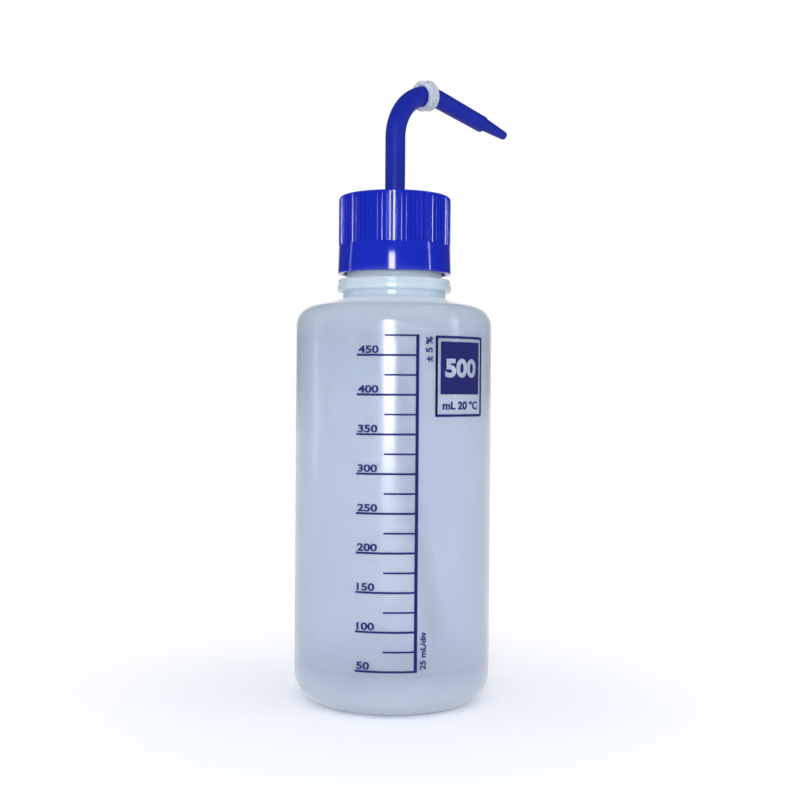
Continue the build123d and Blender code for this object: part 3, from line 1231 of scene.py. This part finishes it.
def sheet_finish():
    """A white paper sheet. The eye sees it brighter than it lights the bottle, so that it
    is white round the shadow, and its own shading fades out away from the bottle."""
    material = bpy.data.materials.new("white_sheet")
    material.use_nodes = True
    tree = material.node_tree
    tree.nodes.clear()
    lit = add_node(tree, "ShaderNodeBsdfDiffuse", inputs={"Color": [sheet_colour] * 3 + [1]})
    near = add_node(
        tree, "ShaderNodeBsdfDiffuse", inputs={"Color": [sheet_seen] * 3 + [1]}
    )
    white = add_node(tree, "ShaderNodeEmission", inputs={"Strength": 1.0})
    place = add_node(tree, "ShaderNodeTexCoord").outputs["Object"]
    far = add_node(tree, "ShaderNodeVectorMath", {"operation": "LENGTH"}, {0: place})
    away = add_node(
        tree,
        "ShaderNodeMapRange",
        {"interpolation_type": "SMOOTHSTEP"},
        {"Value": far.outputs["Value"], "From Min": sheet_fade[0], "From Max": sheet_fade[1]},
    )
    seen = add_node(
        tree,
        "ShaderNodeMixShader",
        inputs={0: away.outputs[0], 1: near.outputs[0], 2: white.outputs[0]},
    )
    eyes = ["Is Camera Ray", "Is Glossy Ray", "Is Transmission Ray"]
    both = seen_or_lit(tree, seen, lit, eyes)
    add_node(tree, "ShaderNodeOutputMaterial", inputs={"Surface": both.outputs[0]})
    return material


def make_floor():
    mesh = bpy.data.meshes.new("floor")
    r = sheet_reach
    mesh.from_pydata([(-r, -r, 0), (r, -r, 0), (r, r, 0), (-r, r, 0)], [], [(0, 1, 2, 3)])
    floor = new_piece("floor", mesh)
    floor.data.materials.append(sheet_finish())


def make_world():
    """Plain soft light. The eye sees white, also through the wall, and plastic mirrors a
    dim room with the white backdrop behind the bottle."""
    world = bpy.data.worlds.new("studio")
    bpy.context.scene.world = world
    world.use_nodes = True
    tree = world.node_tree
    tree.nodes.clear()
    heading, reach = radians(camera_heading + 180), radians(backdrop_reach)
    blur = radians(backdrop_blur)
    look = add_node(tree, "ShaderNodeTexCoord").outputs["Generated"]
    toward = add_node(
        tree,
        "ShaderNodeVectorMath",
        {"operation": "DOT_PRODUCT"},
        {0: look, 1: (cos(heading), sin(heading), 0)},
    )
    mirrored = add_node(
        tree,
        "ShaderNodeMapRange",
        {"interpolation_type": "SMOOTHSTEP"},
        {
            "Value": toward.outputs["Value"],
            "From Min": cos(reach + blur),
            "From Max": cos(reach - blur),
            "To Min": room_level,
            "To Max": 1.0,
        },
    )
    white = linear("FFFFFF")
    room, plain, inside, lit = [
        add_node(tree, "ShaderNodeBackground", inputs={"Color": colour, "Strength": level})
        for colour, level in (
            (white, mirrored.outputs[0]),
            (white, 1.0),
            (white, inside_level),
            (linear("F6F9FF"), lit_level),
        )
    ]
    around = seen_or_lit(tree, room, lit, ["Is Glossy Ray"])
    around = seen_or_lit(tree, plain, around, ["Is Camera Ray", "Is Transmission Ray"])
    path = add_node(tree, "ShaderNodeLightPath").outputs
    from_inside = add_node(
        tree,
        "ShaderNodeMath",
        {"operation": "MULTIPLY", "use_clamp": True},
        {0: path["Is Transmission Ray"], 1: path["Diffuse Depth"]},
    )
    around = add_node(
        tree,
        "ShaderNodeMixShader",
        inputs={0: from_inside.outputs[0], 1: around.outputs[0], 2: inside.outputs[0]},
    )
    add_node(tree, "ShaderNodeOutputWorld", inputs={"Surface": around.outputs[0]})


def make_lamps():
    """Flat upright lamps round the bottle, each facing its axis."""
    for name, beside_camera, far, low, high, width, watts in lamps:
        data = bpy.data.lights.new(name, "AREA")
        data.shape = "RECTANGLE"
        data.size = width
        data.size_y = high - low
        data.energy = watts
        lamp = bpy.data.objects.new(name, data)
        bpy.context.scene.collection.objects.link(lamp)
        heading = radians(camera_heading + beside_camera)
        lamp.location = (far * cos(heading), far * sin(heading), (low + high) / 2)
        lamp.rotation_euler = Euler((pi / 2, 0, heading + pi / 2))


def make_camera():
    data = bpy.data.cameras.new("camera")
    data.sensor_width = 36
    data.lens = data.sensor_width * focal_px / photo_px
    data.clip_start = 0.01
    camera = bpy.data.objects.new("camera", data)
    bpy.context.scene.collection.objects.link(camera)
    heading = radians(camera_heading)
    place = Vector((camera_far * cos(heading), camera_far * sin(heading), camera_h)) * MM
    level = Matrix.Rotation(heading + pi / 2 - radians(camera_yaw), 4, "Z")
    tilt = Matrix.Rotation(pi / 2 - radians(camera_pitch), 4, "X")
    roll = Matrix.Rotation(radians(camera_roll), 4, "Z")
    camera.matrix_world = Matrix.Translation(place) @ level @ tilt @ roll
    bpy.context.scene.camera = camera


# The object


def dress(piece, body, slot, finish, *nodes):
    """Gives a piece its finish and its body, and hides the nodes that it stands for. slot is not
    used.
    """
    if finish:
        piece.data.materials.clear()
        piece.data.materials.append(finish)
    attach(piece, body)
    if nodes:
        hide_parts(*nodes)
    return piece


def make_cap(finish):
    core = skin("cap_wall", turned_rings(cap_outline()), even_turns(144), True)
    ridge = thread_ridge(
        "cap_thread", skirt_in_r, skirt_in_r - thread_depth, cap_thread_z, cap_turns
    )
    cap = new_piece("cap_body", joined("cap_body", core, ridge))
    dress(cap, "cap", "blue_pp_gloss", finish, "screw_cap")
    tree, names = ribs_tree()
    sizes = {"Rib count": rib_count, "Finish": finish}
    ribs = run_tree("cap_ribs", rib_mesh(), tree, names, sizes)
    dress(ribs, "cap", "blue_pp_gloss", None)


def make_print(ink):
    wrap = wrap_group()
    tree, names = scale_tree(wrap)
    sizes = {
        "Body radius": ink_back_r * MM,
        "Heading": radians(scale_heading),
        "Lowest mark": scale_low * MM,
        "Mark step": mark_step * MM,
        "Mark count": mark_count,
        "Long line": major_len * MM,
        "Short line": minor_len * MM,
        "Long line width": major_w * MM,
        "Short line width": minor_w * MM,
        "Bar width": bar_w * MM,
        "Bar height": ((mark_count - 1) * mark_step + (major_w + minor_w) / 2) * MM,
        "Ink thickness": ink_t * MM,
        "Ink": ink,
    }
    scale = run_tree("scale_lines", bpy.data.meshes.new("scale"), tree, names, sizes)
    dress(scale, "bottle", "blue_ink", None, "printed_scale")

    tree, names = print_tree(wrap)

    def printed(name, flat_meshes, heading):
        sizes = {"Body radius": ink_back_r * MM, "Heading": radians(heading), "Ink": ink}
        piece = run_tree(name, thick_print(name, flat_meshes), tree, names, sizes)
        return dress(piece, "bottle", "blue_ink", None)

    numerals = []
    for mark in range(0, mark_count, 2):
        base = scale_low + mark * mark_step + numeral_rise
        words = str(50 * (mark // 2 + 1))
        numerals.append(
            lettering(words, numeral_h, numeral_left, base, stretch=numeral_stretch)
        )
    printed("scale_numerals", numerals, scale_heading)
    units = [
        lettering(words, height, left, low, upwards=True, stretch=unit_stretch)
        for words, height, left, low in (
            ("± 5 %", unit_h, unit_left, unit_z),
            ("25 mL/div", note_h, note_left, note_z),
        )
    ]
    printed("scale_units", units, scale_heading)

    half = panel_w / 2
    low = panel_top - panel_h
    inner = half - frame_w
    sides = [
        slab(-half, half, panel_top - frame_w, panel_top),
        slab(-half, half, low, low + frame_w),
        slab(-half, -inner, low + frame_w, panel_top - frame_w),
        slab(inner, half, low + frame_w, panel_top - frame_w),
    ]
    top = panel_top - field_margin
    base = top - (field_h + volume_h) / 2
    volume = centred(
        lettering("500", volume_h, 0, base, stretch=volume_stretch, weight=volume_weight)
    )
    side = half - field_margin
    field = field_with_words(-side, side, top - field_h, top, volume)
    base = low + frame_w + panel_unit_rise
    unit = centred(lettering("mL 20 °C", panel_unit_h, 0, base, stretch=unit_stretch))
    panel = printed("capacity_panel", sides + [field, unit], panel_heading)
    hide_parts("printed_panel")


def make_object():
    dress(make_bottle(), "bottle", "natural_ldpe", natural_ldpe(), "bottle")
    make_cap(blue_pp_gloss())
    satin = blue_pe_satin()
    for name, rings, steps, slot, finish, node in (
        ("spout_body", spout_rings(), 64, "blue_pe_satin", satin, "spout_tube"),
        ("collar_ring", collar_rings(), 72, "natural_collar", natural_collar(), "bend_collar"),
        ("jet_nose", tip_rings(), 48, "blue_pe_satin", satin, "jet_tip"),
        ("inner_tube", dip_rings(), 48, "natural_tube", natural_tube(), "dip_tube"),
    ):
        piece = new_piece(name, skin(name, rings, even_turns(steps), True))
        dress(piece, "spout", slot, finish, node)
    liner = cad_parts["cap_liner"]
    liner.data.materials.clear()
    liner.data.materials.append(liner_foam())
    make_print(blue_ink())


make_object()
make_floor()
make_world()
make_lamps()
make_camera()
bpy.context.scene.view_settings.view_transform = "Standard"
